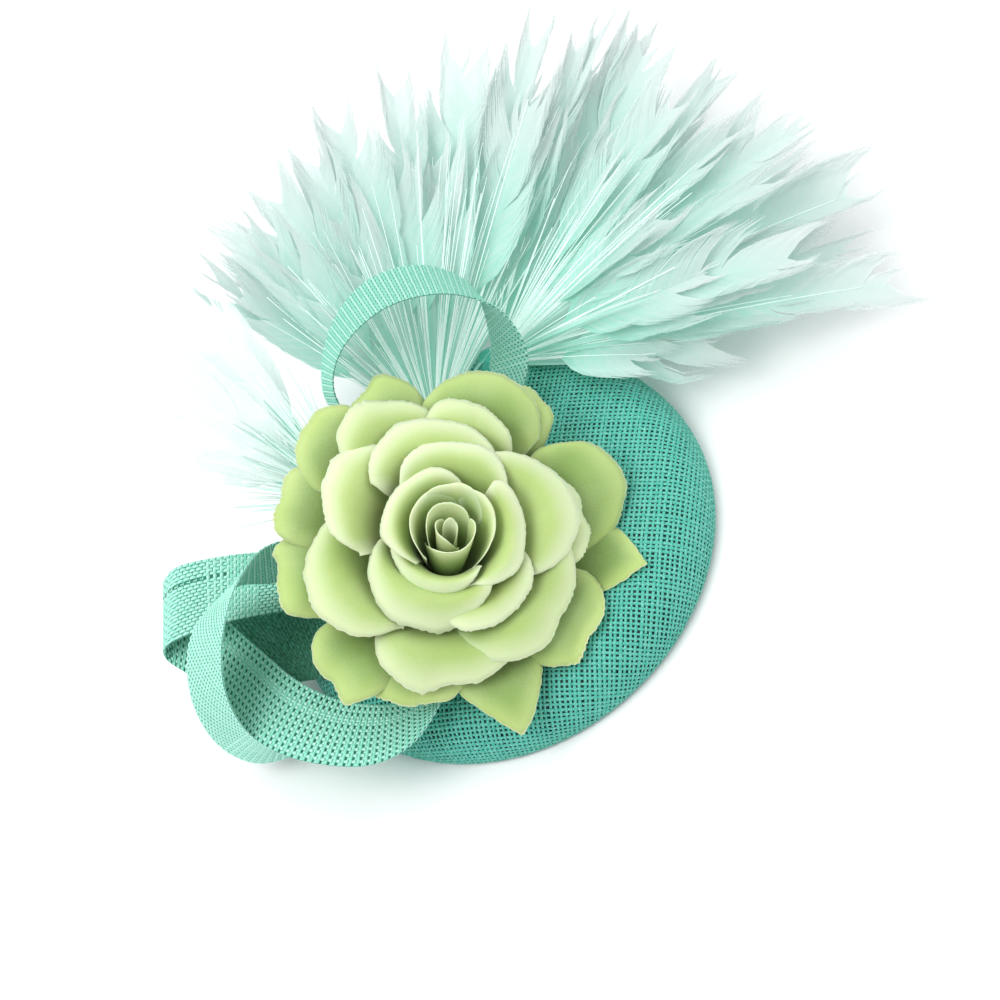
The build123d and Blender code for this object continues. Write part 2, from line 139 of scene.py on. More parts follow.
# Pairs of points on a ribbon's near and far edge: (x, y) on the cap, or (across, up, out) of the leaning plane
LOOPS = {
    "front_loop": (
        ((-30, 24), (-33, 33)),
        ((-57, 59, 33), (-66, 48, 9)),
        ((-75, 59, 45), (-82, 58, 16)),
        ((-93, 48, 50), (-104, 55, 24)),
        ((-106, 33, 48), (-119, 39, 22)),
        ((-111, 17, 42), (-124, 19, 16)),
        ((-108, 5, 33), (-117, 3, 10)),
        ((-98, 3, 26), (-100, -2, 11)),
        ((-98, 9, 19), (-107, 22, 0)),
        ((-90, 17, 11), (-93, 50, -7)),
        ((-76, 11, 16), (-66, 36, 0)),
        ((-60, 3), (-56, 16)),
    ),
    "back_loop": (
        ((-40, 2), (-36, 12)),
        ((-62, 32, 14), (-50, 50, -5)),
        ((-78, 42, 10), (-63, 59, -6)),
        ((-92, 50, 12), (-77, 69, -3)),
        ((-106, 56, 14), (-91, 77, -1)),
        ((-115, 58, 14), (-98, 78, -1)),
        ((-118, 54, 10), (-102, 74, -6)),
        ((-115, 43, 14), (-94, 58, -2)),
        ((-112, 25, 28), (-90, 36, 12)),
        ((-110, 8, 40), (-86, 17, 27)),
        ((-101, -8, 47), (-79, 2, 33)),
        ((-85, -23, 52), (-69, -9, 39)),
        ((-67, -27, 56), (-58, -16, 45)),
        ((-48, -21, 55), (-43, -17, 47)),
        ((-31, -33), (-30, -24)),
    ),
    "arch_loop": (
        ((-6, 37), (-7, 46)),
        ((-9, 68, 15), (-11, 74, -8)),
        ((-7, 87, 27), (-10, 91, 0)),
        ((6, 97, 34), (6, 106, 6)),
        ((26, 98, 37), (28, 111, 10)),
        ((44, 90, 34), (48, 102, 7)),
        ((55, 78, 27), (57, 84, -2)),
        ((59, 66, 22), (50, 66, -6)),
        ((56, 52, 16), (43, 58, -9)),
        ((46, 43, 13), (36, 50, -4)),
        ((31, 24), (26, 33)),
    ),
}

PETAL_ACROSS = 60
PETAL_ALONG = 28
# Each ring of petals: share of their reach where they stand up, how green they are, how far their feet lie behind
# the rose's middle, and its petals as (turn, reach, half width in degrees, root height, crest height, rim height,
# point, ruffle, lap)
PETALS = {
    "outer_petals": (0.66, 1.0, 0.0, (
        (164, 65, 20, 6, 33, 25, 0.2, 2.2, 1.2),
        (191, 63, 21, 7, 32, 23, 0.0, 3.8, 1.6),
        (233, 67, 19, 6, 33, 24, 0.1, 2.2, 1.4),
        (257, 60, 24, 7, 30, 24, 0.0, 2.8, 0.8),
        (292, 72, 27, 6, 33, 23, 1.0, 2.4, 1.8),
        (325, 63, 24, 7, 34, 27, 0.1, 2.6, 1.2),
        (357, 75, 27, 6, 31, 21, 1.1, 2.2, 1.4),
        (22, 67, 26, 7, 35, 25, 0.3, 3.0, 1.8),
        (62, 67, 15, 6, 32, 24, 0.4, 1.6, 1.0),
        (78, 64, 28, 7, 37, 29, 0.0, 2.6, 1.6),
        (115, 66, 19, 6, 34, 25, 0.1, 2.6, 1.2),
        (137, 68, 21, 7, 34, 26, 0.3, 2.2, 1.4),
    )),
    "wide_petals": (0.62, 0.3, 0.0, (
        (121, 57, 27, 9.5, 46, 36, 0.0, 2.6, 2.0),
        (205, 52, 40, 9.5, 45, 34, 0.0, 3.6, 2.0),
        (266, 55, 37, 9.5, 44, 33, 0.0, 2.6, 2.4),
        (316, 51, 45, 9.5, 46, 36, 0.1, 3.2, 2.2),
        (8, 51, 27, 9.5, 42, 34, 0.1, 2.4, 1.4),
        (77, 50, 30, 9.5, 43, 38, 0.3, 2.2, 1.2),
    )),
    "middle_petals": (0.56, 0.1, 2.0, (
        (97, 42, 52, 13, 54, 44, 0.0, 2.0, 2.2),
        (14, 45, 48, 13, 52, 40, 0.1, 3.4, 2.4),
        (306, 37, 44, 13, 48, 43, 0.0, 1.8, 1.2),
        (242, 35, 66, 13, 57, 40, 0.2, 3.6, 3.2),
        (157, 47, 39, 13, 53, 44, 0.0, 2.6, 2.4),
    )),
    "inner_petals": (0.60, 0.0, 5.0, (
        (84, 33, 52, 16.5, 55, 48, 0.0, 1.6, 1.8),
        (246, 23.5, 68, 16.5, 55, 46, 0.0, 1.4, 1.6),
        (348, 28, 60, 16.5, 57, 48, 0.0, 1.4, 2.0),
        (150, 24, 76, 16.5, 58, 49, 0.1, 1.6, 1.8),
    )),
    "cup_petals": (0.84, 0.2, 8.0, (
        (150, 14.5, 78, 20.5, 52, 54, 0.1, 1.0, 2.4),
        (12, 16.5, 64, 20.5, 51, 53, 0.1, 1.0, 2.0),
        (86, 15.5, 58, 20.5, 51, 54, 0.0, 0.8, 1.2),
    )),
    "bud_petals": (0.86, 0.5, 11.0, (
        (290, 9.6, 104, 26, 47, 52, 0.0, 0.8, 2.8),
        (110, 8.8, 96, 26, 46, 53, 0.2, 0.7, 2.4),
        (205, 5.0, 116, 26, 45, 52, 0.2, 0.4, 2.2),
        (40, 3.0, 110, 26, 45, 51, 0.1, 0.3, 1.6),
    )),
}

# Plumes: rows of (turn about +Z, rise, length, width) that spread from a bound root at (x, y) on the cap
PLUMES = {
    "side_plumes": ((44.0, 57.0), (
        (-44, 3, 100, 16), (-38, 7, 178, 20), (-33, 15, 150, 18), (-28, 3, 160, 20), (-22, 9, 172, 20),
        (-18, 17, 158, 18), (-14, 3, 158, 20), (-7, 10, 160, 20), (0, 4, 150, 18), (5, 12, 148, 20),
        (11, 6, 150, 20), (17, 14, 148, 20), (24, 8, 144, 20), (31, 16, 138, 18),
    )),
    "right_plumes": ((12.0, 47.0), (
        (24, 5, 190, 22), (27, 12, 182, 20), (31, 5, 176, 22), (35, 15, 172, 20), (39, 7, 165, 22),
        (43, 19, 160, 20), (48, 10, 152, 22), (52, 23, 146, 20),
    )),
    "back_plumes": ((12.0, 47.0), (
        (57, 13, 142, 22), (62, 29, 136, 20), (66, 16, 132, 22), (71, 31, 128, 20), (76, 18, 126, 22),
        (82, 34, 124, 20), (87, 20, 124, 22), (93, 36, 120, 20), (98, 22, 120, 20), (106, 34, 116, 18),
    )),
    "left_plumes": ((-28.0, 45.0), (
        (93, 50, 118, 18), (104, 40, 112, 18), (114, 54, 108, 18), (125, 42, 100, 16), (136, 52, 90, 16),
    )),
}
SIDE_PLUMES = 2  # more plumes close beside each one of the table
LOOSE_PLUMES = 9  # bare shafts, and short blades, for each plume of the table
BARBS_BEGIN = 0.34  # share of a plume's length
SHAFTS_END = 0.84
SHAFT_WIDTH = 0.75
SHAFT_THICK = 0.35
SHAFT_TAPER = 0.88
# Stiff spikes: their root and number, and the least and most of their turn, rise, length and width
SPIKES_ROOT = (-28.0, 45.0)
SPIKES = 80
SPIKE_RANGES = ((62, 168), (28, 70), (34, 60), (0.7, 1.3))
KNOT_RADIUS = 6.5
KNOT_SINK = 0.4
SPRING_WRAP = 1.05  # middle of a clip's leaf spring, out from the pin's middle
DROOP = 0.06  # fall of a plume's tip, as a share of its length


# -------- sizes and colours


def colour(label, words, value):
    return bpy.props.FloatVectorProperty(
        name=label, description=words, subtype="COLOR", size=3, min=0, max=1, default=value,
    )


def length(label, words, value):
    return bpy.props.FloatProperty(
        name=label, description=words, subtype="DISTANCE", unit="LENGTH", min=0, default=value,
    )


class HeadpieceSizes(bpy.types.PropertyGroup):
    """Sizes that set the grain of the materials"""

    cap_pitch: length("Cap thread spacing", "Distance between two threads of the cap's weave", 0.00185)
    cap_thread: length("Cap thread width", "Width of one flattened thread of the cap", 0.00098)
    ribbon_pitch: length("Ribbon thread spacing", "Distance between two threads of the ribbons", 0.00125)
    ribbon_thread: length("Ribbon thread width", "Width of one thread of the ribbons", 0.00102)
    petal: length("Petal thickness", "Thickness of a petal's cloth", 0.00035)
    barb_gap: length("Barb spacing", "Distance between two barbs along a plume's shaft", 0.0007)


class HeadpieceColours(bpy.types.PropertyGroup):
    """Colours of the threads, petals, plumes and fittings"""

    thread: colour("Thread", "Sinamay thread in the light", (0.030, 0.42, 0.32))
    ribbon: colour("Ribbon", "Ribbon thread in the light", (0.20, 0.68, 0.50))
    thread_pale: colour("Pale thread", "Worn and shiny parts of a thread", (0.34, 0.76, 0.62))
    # Paler ribbon tone, both at random and as a painted highlight on the raised threads
    ribbon_pale_and_highlight: colour("Pale ribbon", "Raised threads of the ribbons", (0.58, 0.93, 0.83))
    # Painted shade: ribbon colour where it lies inside a loop, and the colour of the cloth between its threads
    ribbon_loop_shade: colour("Ribbon fold", "Ribbon where a loop turns in on itself", (0.004, 0.12, 0.06))
    # Painted shade: near-black colour of the cloth under the weave, so the holes read dark
    ground_shade: colour("Under the weave", "What shows between the threads", (0.001, 0.035, 0.024))
    petal_hem: colour("Petal hem", "Cut edge of a petal", (0.78, 0.86, 0.62))
    petal_rim: colour("Petal rim", "Rim of a petal", (0.72, 0.80, 0.52))
    petal: colour("Petal", "Middle of a petal", (0.45, 0.59, 0.19))
    petal_green: colour("Outer petal", "Middle of the outermost petals", (0.26, 0.40, 0.115))
    # Painted shade: the darkening of petals towards their roots, deep in the rose
    petal_root_shade: colour("Petal root", "Root of a petal, deep in the rose", (0.085, 0.20, 0.012))
    plume: colour("Plume root", "Plumes near the cap", (0.30, 0.60, 0.51))
    plume_tip: colour("Plume tip", "Plumes at their tips", (0.57, 0.63, 0.615))
    plume_deep: colour("Deep plume", "Roots of the barbs and blades", (0.20, 0.60, 0.45))
    plume_pale: colour("Pale plume", "Tips of the palest plumes", (0.80, 0.86, 0.85))
    steel: colour("Steel", "Hair clips", (0.52, 0.53, 0.55))
    lining: colour("Lining", "Lining and felt inside the cap", (0.03, 0.30, 0.20))


def sizes():
    return bpy.context.scene.headpiece_sizes


def colours():
    return bpy.context.scene.headpiece_colours


# -------- places


def leaned(across, up, out):
    """A point or direction given on the leaning plane, in the part's own frame."""
    c, s = cos(LEAN), sin(LEAN)
    return Vector((across, s * up - c * out, c * up + s * out))


IMAGE_RIGHT = leaned(cos(ROLL), -sin(ROLL), 0)
IMAGE_UP = leaned(sin(ROLL), cos(ROLL), 0)


def crown_height(radius):
    """Height of the cap's outer face."""
    if radius < CROWN * sin(CROWN_TURN):
        return CAP_HEIGHT - CROWN + sqrt(CROWN**2 - radius**2)
    return CAP_WALL + sqrt(CAP_SHOULDER**2 - (radius - FLANK) ** 2)


def on_cap(place, lift=0.1):
    """A point over a place (x, y) of the cap."""
    return Vector((place[0], place[1], crown_height(hypot(*place)) + lift))


def meridian(run, inward=0.0):
    """Radius, height and outward direction at a distance from the cap's top, along its outer face, rim and inside."""
    crown = CROWN - inward
    bend = CAP_SHOULDER - inward
    spans = (CROWN * CROWN_TURN, CAP_SHOULDER * (pi / 2 - CROWN_TURN), CAP_WALL)
    if run < spans[0]:
        a = run / CROWN
        return crown * sin(a), CAP_HEIGHT - CROWN + crown * cos(a), sin(a), cos(a)
    run -= spans[0]
    if run < spans[1]:
        a = CROWN_TURN + run / CAP_SHOULDER
        return FLANK + bend * sin(a), CAP_WALL + bend * cos(a), sin(a), cos(a)
    run -= spans[1]
    if run < spans[2]:
        return CAP_RADIUS - inward, CAP_WALL - run, 1.0, 0.0
    run -= spans[2]
    turn = min(run / (CAP_THICK / 2), pi)
    half = CAP_THICK / 2
    return CAP_RADIUS - half + half * cos(turn), 0.6 - 0.6 * sin(turn), cos(turn), -sin(turn)


CAP_RUN = CROWN * CROWN_TURN + CAP_SHOULDER * (pi / 2 - CROWN_TURN) + CAP_WALL + CAP_THICK / 2 * pi


# -------- mesh helpers


def strips(count, steps, layers=()):
    """Loose flat strips, each corner with its strip, its step along it and its side, and the value layers."""
    bm = bmesh.new()
    for layer in layers:
        bm.verts.layers.float.new(layer)
    rows = 2 * count - 1
    bmesh.ops.create_grid(bm, x_segments=steps, y_segments=rows, size=0.5)
    corners = []
    for v in bm.verts:
        row = round((v.co.y + 0.5) * rows)
        corners.append((v, row // 2, round((v.co.x + 0.5) * steps), row % 2 * 2 - 1))
    gaps = [f for f in bm.faces if int((f.calc_center_median().y + 0.5) * rows) % 2]
    bmesh.ops.delete(bm, geom=gaps, context="FACES_ONLY")
    return bm, corners, [bm.verts.layers.float[layer] for layer in layers]


def made(bm, name, material, body="cap", smooth=True):
    """The finished piece: an object that rides on its body, if it has one of its own."""
    mesh = bpy.data.meshes.new(name)
    bm.to_mesh(mesh)
    bm.free()
    for face in mesh.polygons:
        face.use_smooth = smooth
    piece = bpy.data.objects.new(name, mesh)
    bpy.context.scene.collection.objects.link(piece)
    mesh.materials.append(material)
    if body:
        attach(piece, body)
    return piece


def thickened(bm, thickness):
    """Gives open sheets their thickness, with their faces outwards."""
    bmesh.ops.recalc_face_normals(bm, faces=bm.faces)
    bmesh.ops.solidify(bm, geom=bm.faces[:], thickness=thickness)
    bmesh.ops.recalc_face_normals(bm, faces=bm.faces)


def finish_node(name, material):
    """Gives a CAD node its material."""
    node = frame["nodes"][name]
    for place in node.material_slots:
        place.link = "OBJECT"
        place.material = material


# -------- material helpers


def feed(tree, socket, value):
    """Links a socket to an input or sets a value there. A colour needs no alpha."""
    if isinstance(value, bpy.types.NodeSocket):
        tree.links.new(value, socket)
    elif socket.type == "RGBA":
        socket.default_value = (*value[:3], 1.0)
    else:
        socket.default_value = value


def add(tree, kind, inputs=None, **settings):
    """A node, with its settings and with values or links on its inputs."""
    node = tree.nodes.new(kind)
    for key, value in settings.items():
        setattr(node, key, value)
    for key, value in (inputs or {}).items():
        feed(tree, node.inputs[key], value)
    return node


def painted(tree, name):
    """The value that a piece's own attribute holds."""
    return add(tree, "ShaderNodeAttribute", attribute_name=name).outputs["Fac"]


def ramp(tree, factor, stops):
    """A colour that runs through the stops as the factor goes from 0 to 1."""
    node = add(tree, "ShaderNodeValToRGB", {0: factor})
    bar = node.color_ramp
    while len(bar.elements) < len(stops):
        bar.elements.new(0.5)
    for element, (place, value) in zip(bar.elements, stops):
        element.position = place
        element.color = (*value, 1.0)
    return node.outputs[0]


def blended(tree, factor, first, second):
    """The first colour where the factor is 0, and the second where it is 1."""
    return add(tree, "ShaderNodeMix", {0: factor, 6: first, 7: second}, data_type="RGBA").outputs[2]


def blank(name):
    """A new material, its node tree and its shader."""
    material = bpy.data.materials.new(name)
    material.use_nodes = True
    return material, material.node_tree, material.node_tree.nodes["Principled BSDF"]


def group(name, inputs, outputs):
    """An empty node group with its sockets."""
    tree = bpy.data.node_groups.new(name, "ShaderNodeTree")
    for label, kind, value in inputs:
        tree.interface.new_socket(name=label, in_out="INPUT", socket_type=kind).default_value = value
    for label, kind in outputs:
        tree.interface.new_socket(name=label, in_out="OUTPUT", socket_type=kind)
    return tree, tree.nodes.new("NodeGroupInput"), tree.nodes.new("NodeGroupOutput")


def fibre_group():
    """Fine fibres and slow colour drift, used by threads, petals, felt and lining."""
    known = bpy.data.node_groups.get("Fibres")
    if known:
        return known
    tree, start, end = group(
        "Fibres",
        (
            ("Colour", "NodeSocketColor", (0.5, 0.5, 0.5, 1)),
            ("Pale", "NodeSocketColor", (0.8, 0.8, 0.8, 1)),
            ("Scale", "NodeSocketFloat", 900.0),
            ("Drift", "NodeSocketFloat", 40.0),
            ("Amount", "NodeSocketFloat", 0.5),
        ),
        (("Colour", "NodeSocketColor"), ("Height", "NodeSocketFloat"), ("Roughness", "NodeSocketFloat")),
    )
    place = add(tree, "ShaderNodeTexCoord").outputs["Object"]
    fine = add(tree, "ShaderNodeTexNoise", {"Vector": place, "Scale": start.outputs["Scale"], "Detail": 3.0})
    slow = add(tree, "ShaderNodeTexNoise", {"Vector": place, "Scale": start.outputs["Drift"], "Detail": 2.0})
    both = add(tree, "ShaderNodeMath", {0: fine.outputs[0], 1: slow.outputs[0]}, operation="MULTIPLY")
    spread = add(tree, "ShaderNodeMapRange", {0: both.outputs[0], 1: 0.15, 2: 0.42})
    share = add(tree, "ShaderNodeMath", {0: spread.outputs[0], 1: start.outputs["Amount"]}, operation="MULTIPLY")
    tone = blended(tree, share.outputs[0], start.outputs["Colour"], start.outputs["Pale"])
    rough = add(tree, "ShaderNodeMapRange", {0: fine.outputs[0], 3: 0.42, 4: 0.72})
    tree.links.new(tone, end.inputs["Colour"])
    tree.links.new(fine.outputs[0], end.inputs["Height"])
    tree.links.new(rough.outputs[0], end.inputs["Roughness"])
    return tree


def fibrous(name, base, pale, scale=900.0, drift=40.0, amount=0.5, bump=0.3, depth=0.0002, **fixed):
    """A material of fine fibres. Fixed values go straight on the shader's sockets."""
    material, tree, shader = blank(name)
    grain = {"Colour": base, "Pale": pale, "Scale": scale, "Drift": drift, "Amount": amount}
    fibres = add(tree, "ShaderNodeGroup", grain, node_tree=fibre_group())
    relief = add(tree, "ShaderNodeBump", {"Strength": bump, "Distance": depth, "Height": fibres.outputs["Height"]})
    tree.links.new(fibres.outputs["Colour"], shader.inputs["Base Color"])
    tree.links.new(fibres.outputs["Roughness"], shader.inputs["Roughness"])
    tree.links.new(relief.outputs[0], shader.inputs["Normal"])
    for key, value in fixed.items():
        shader.inputs[key.replace("_", " ")].default_value = value
    return material, tree, fibres, shader


def thread_material():
    """Threads of the cap."""
    c = colours()
    return fibrous(
        "sinamay thread", c.thread, c.thread_pale, scale=2200, drift=900, amount=0.5, bump=0.35, Sheen_Weight=0.1,
    )[0]


def ribbon_material():
    """Threads of the ribbons, with a painted highlight where they are raised and painted shade inside a loop."""
    c = colours()
    material, tree, fibres, _ = fibrous(
        "ribbon thread", c.ribbon, c.ribbon_pale_and_highlight, scale=2400, drift=900, amount=0.5, bump=0.35, Sheen_Weight=0.1,
    )
    # Painted highlight on the raised threads, and painted shade where the ribbon lies inside its loop
    loop_shade = painted(tree, "loop_shade")
    lit = blended(tree, painted(tree, "thread_highlight"), c.ribbon, c.ribbon_pale_and_highlight)
    tree.links.new(blended(tree, loop_shade, lit, c.ribbon_loop_shade), fibres.inputs["Colour"])
    tree.links.new(blended(tree, loop_shade, c.ribbon_pale_and_highlight, c.ribbon), fibres.inputs["Pale"])
    return material


def ground_shade_material():
    """The stiff form and cloth that show between the cap's threads, near black as painted shade in the holes."""
    c = colours()
    return fibrous("under the weave", c.ground_shade, c.thread, scale=600, drift=90, amount=0.12)[0]


# -------- stage


class HEADPIECE_OT_stage(bpy.types.Operator):
    """Pale floor, soft studio light and the camera"""

    bl_idname = "headpiece.stage"
    bl_label = "Stage"

    def execute(self, context):
        paper, tree, shader = blank("studio paper")
        shader.inputs["Base Color"].default_value = (0.93, 0.93, 0.93, 1)
        shader.inputs["Roughness"].default_value = 0.9
        # From behind it can be seen through, so that it doesn't hide the underside
        behind = add(tree, "ShaderNodeNewGeometry").outputs["Backfacing"]
        clear = add(tree, "ShaderNodeMath", {0: 1.0, 1: behind}, operation="SUBTRACT")
        tree.links.new(clear.outputs[0], shader.inputs["Alpha"])
        bm = bmesh.new()
        for radius in (FLOOR_REACH, FLOOR_OPENING * MM):
            bmesh.ops.create_circle(bm, segments=96, radius=radius)
        bmesh.ops.bridge_loops(bm, edges=bm.edges)
        bmesh.ops.translate(bm, verts=bm.verts, vec=(0, 0, CAD_BOX[0][2] - FLOOR_GAP))
        if sum(face.normal.z for face in bm.faces) < 0:
            bmesh.ops.reverse_faces(bm, faces=bm.faces)
        floor = made(bm, "floor", paper, body=None, smooth=False)

        for name, (place, size, power) in LIGHTS.items():
            lamp = bpy.data.lights.new(name, "AREA")
            lamp.size = size
            lamp.energy = power
            holder = bpy.data.objects.new(name, lamp)
            holder.location = LIT_POINT + leaned(*place)
            holder.rotation_euler = (-leaned(*place)).to_track_quat("-Z", "Y").to_euler()
            context.scene.collection.objects.link(holder)
        world = bpy.data.worlds.new("studio")
        world.use_nodes = True
        sky = world.node_tree.nodes["Background"]
        sky.inputs["Color"].default_value = (*SKY, 1)
        sky.inputs["Strength"].default_value = SKY_POWER
        context.scene.world = world
        context.scene.view_settings.view_transform = "Standard"

        lens = bpy.data.cameras.new("camera")
        lens.lens = SENSOR * CAMERA_AWAY / VIEW_WIDTH
        lens.sensor_width = SENSOR
        lens.clip_end = 20
        camera = bpy.data.objects.new("camera", lens)
        camera.matrix_world = matrix_of(IMAGE_RIGHT, IMAGE_UP, VIEW, leaned(*VIEW_CENTRE) + VIEW * CAMERA_AWAY)
        context.scene.collection.objects.link(camera)
        context.scene.camera = camera
        return {"FINISHED"}


def matrix_of(x, y, z, place):
    """The matrix whose columns are three directions and a place."""
    found = Matrix.Identity(4)
    for i, axis in enumerate((x, y, z, place)):
        for j in range(3):
            found[j][i] = axis[j]
    return found


# -------- cap


def cap_threads(name, turn, over, material):
    """All the threads of the cap that run one way, each over and under those that cross it."""
    size = sizes()
    pitch, width = size.cap_pitch / MM, size.cap_thread / MM
    rng = random.Random(11 + over)
    half = int(CAP_RUN / pitch)
    count = 2 * half + 1
    bm, corners, _ = strips(count, 4 * half)
    slack = [rng.uniform(-0.14, 0.14) for _ in range(count)]
    broad = [rng.uniform(0.8, 1.2) for _ in range(count)]
    gone = []
    for v, strip, step, side in corners:
        along = (step / 2 - half) * pitch
        if hypot(along, (strip - half) * pitch) > CAP_RUN:
            gone.append(v)
            continue
        across = (strip - half + slack[strip] * sin(along / 11 + strip)) * pitch + side * width * broad[strip] / 2
        run = min(hypot(along, across), CAP_RUN)
        r, z, nr, nz = meridian(run)
        lift = CAP_LIFT + WAVE * cos(pi * (step / 2 + strip + over))
        angle = atan2(across, along) + turn
        outward = Vector((nr * cos(angle), nr * sin(angle), nz))
        v.co = (Vector((r * cos(angle), r * sin(angle), z)) + outward * lift) * MM
    bmesh.ops.delete(bm, geom=gone, context="VERTS")
    thickened(bm, CAP_THREAD * MM)
    return made(bm, name, material)


class HEADPIECE_OT_cap(bpy.types.Operator):
    """Threads of the sinamay cap, both ways, and the cloth under them"""

    bl_idname = "headpiece.cap"
    bl_label = "Cap weave"

    def execute(self, context):
        grain = -ROLL
        threads = thread_material()
        cap_threads("cap_weft", grain, 0, threads)
        cap_threads("cap_warp", grain + pi / 2, 1, threads)
        # The cover, shell and rim wire under the weave are near black: painted shade in the holes
        ground_shade = ground_shade_material()
        for name in ("sinamay_cover", "base_shell", "rim_wire"):
            finish_node(name, ground_shade)
        return {"FINISHED"}


class HEADPIECE_OT_inside(bpy.types.Operator):
    """Lining and grosgrain band inside the cap"""

    bl_idname = "headpiece.inside"
    bl_label = "Lining and band"

    def execute(self, context):
        c = colours()
        cloth = fibrous(
            "lining cloth", c.lining, c.thread_pale, scale=2600, drift=1200, amount=0.22, Sheen_Weight=0.3,
        )[0]
        bm = bmesh.new()
        start = bm.verts.new((0, 0, (CAP_HEIGHT - LINING_INSET) * MM))
        chain = [start]
        steps = 26
        end = CROWN * CROWN_TURN + CAP_SHOULDER * (pi / 2 - CROWN_TURN) * 0.62
        for i in range(1, steps + 1):
            r, z, _, _ = meridian(end * i / steps, LINING_INSET)
            chain.append(bm.verts.new((r * MM, 0, z * MM)))
        edges = [bm.edges.new(pair) for pair in zip(chain, chain[1:])]
        bmesh.ops.spin(bm, geom=chain + edges, axis=(0, 0, 1), cent=(0, 0, 0), steps=144, angle=2 * pi, use_merge=True)
        bmesh.ops.remove_doubles(bm, verts=bm.verts, dist=0.00001)
        # Small gathers near its edge
        for v in bm.verts:
            r = hypot(v.co.x, v.co.y)
            angle = atan2(v.co.y, v.co.x)
            edge = max(0.0, (r / MM - 52) / 22)
            v.co.z -= edge**2 * MM * (0.35 + 0.35 * sin(36 * angle + 2 * sin(5 * angle)))
        thickened(bm, LINING_CLOTH * MM)
        lining = made(bm, "lining_cloth", cloth)
        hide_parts("lining")

        ribbed, tree, _, shader = fibrous("grosgrain", c.thread, c.thread_pale, scale=1800, drift=80, amount=0.4)
        place = add(tree, "ShaderNodeSeparateXYZ", {0: add(tree, "ShaderNodeTexCoord").outputs["Object"]})
        angle = add(tree, "ShaderNodeMath", {0: place.outputs[1], 1: place.outputs[0]}, operation="ARCTAN2")
        wave = add(tree, "ShaderNodeMath", {0: angle.outputs[0], 1: 420.0}, operation="MULTIPLY")
        rib = add(tree, "ShaderNodeMath", {0: wave.outputs[0]}, operation="SINE")
        relief = add(tree, "ShaderNodeBump", {"Strength": 0.8, "Distance": 0.0003, "Height": rib.outputs[0]})
        tree.links.new(relief.outputs[0], shader.inputs["Normal"])
        finish_node("inner_band", ribbed)
        return {"FINISHED"}


# -------- ribbons


def smoothed(points, steps):
    """Points along the smooth curve through some given ones."""
    path = [points[0] * 2 - points[1]] + points + [points[-1] * 2 - points[-2]]
    found = []
    for a, b, c, d in zip(path, path[1:], path[2:], path[3:]):
        for i in range(steps):
            t = i / steps
            bow = (c - a) * t + (a * 2 - b * 5 + c * 4 - d) * t**2 + (b * 3 - a - c * 3 + d) * t**3
            found.append(b + bow / 2)
    return found + [points[-1]]


def trim_point(at):
    """A point of a ribbon's edge: its ends lie on the cap, and the rest hangs free."""
    return on_cap(at, RIBBON_SEAT) if len(at) == 2 else leaned(*at)


class Ribbon:
    """A ribbon's surface, by its distance along the middle and its share across."""

    def __init__(self, pairs):
        self.near, self.far = [smoothed([trim_point(at) for at in edge], 14) for edge in zip(*pairs)]
        middle = [(a + b) / 2 for a, b in zip(self.near, self.far)]
        self.runs = [0.0]
        for a, b in zip(middle, middle[1:]):
            self.runs.append(self.runs[-1] + (b - a).length)
        self.length = self.runs[-1]
        self.width = sum((b - a).length for a, b in zip(self.near, self.far)) / len(self.near)

    def at(self, run, share, lift):
        """A point: share runs from 0 on the near edge to 1 on the far one, and lift stands off the surface."""
        run = min(max(run, 0.0), self.length - 1e-6)
        low, high = 0, len(self.runs) - 1
        while high - low > 1:
            mid = (low + high) // 2
            if self.runs[mid] <= run:
                low = mid
            else:
                high = mid
        t = (run - self.runs[low]) / (self.runs[high] - self.runs[low])
        a = self.near[low].lerp(self.near[high], t)
        b = self.far[low].lerp(self.far[high], t)
        ahead = (self.near[high] + self.far[high]) - (self.near[low] + self.far[low])
        normal = (b - a).cross(ahead).normalized()
        return a.lerp(b, share) + normal * lift


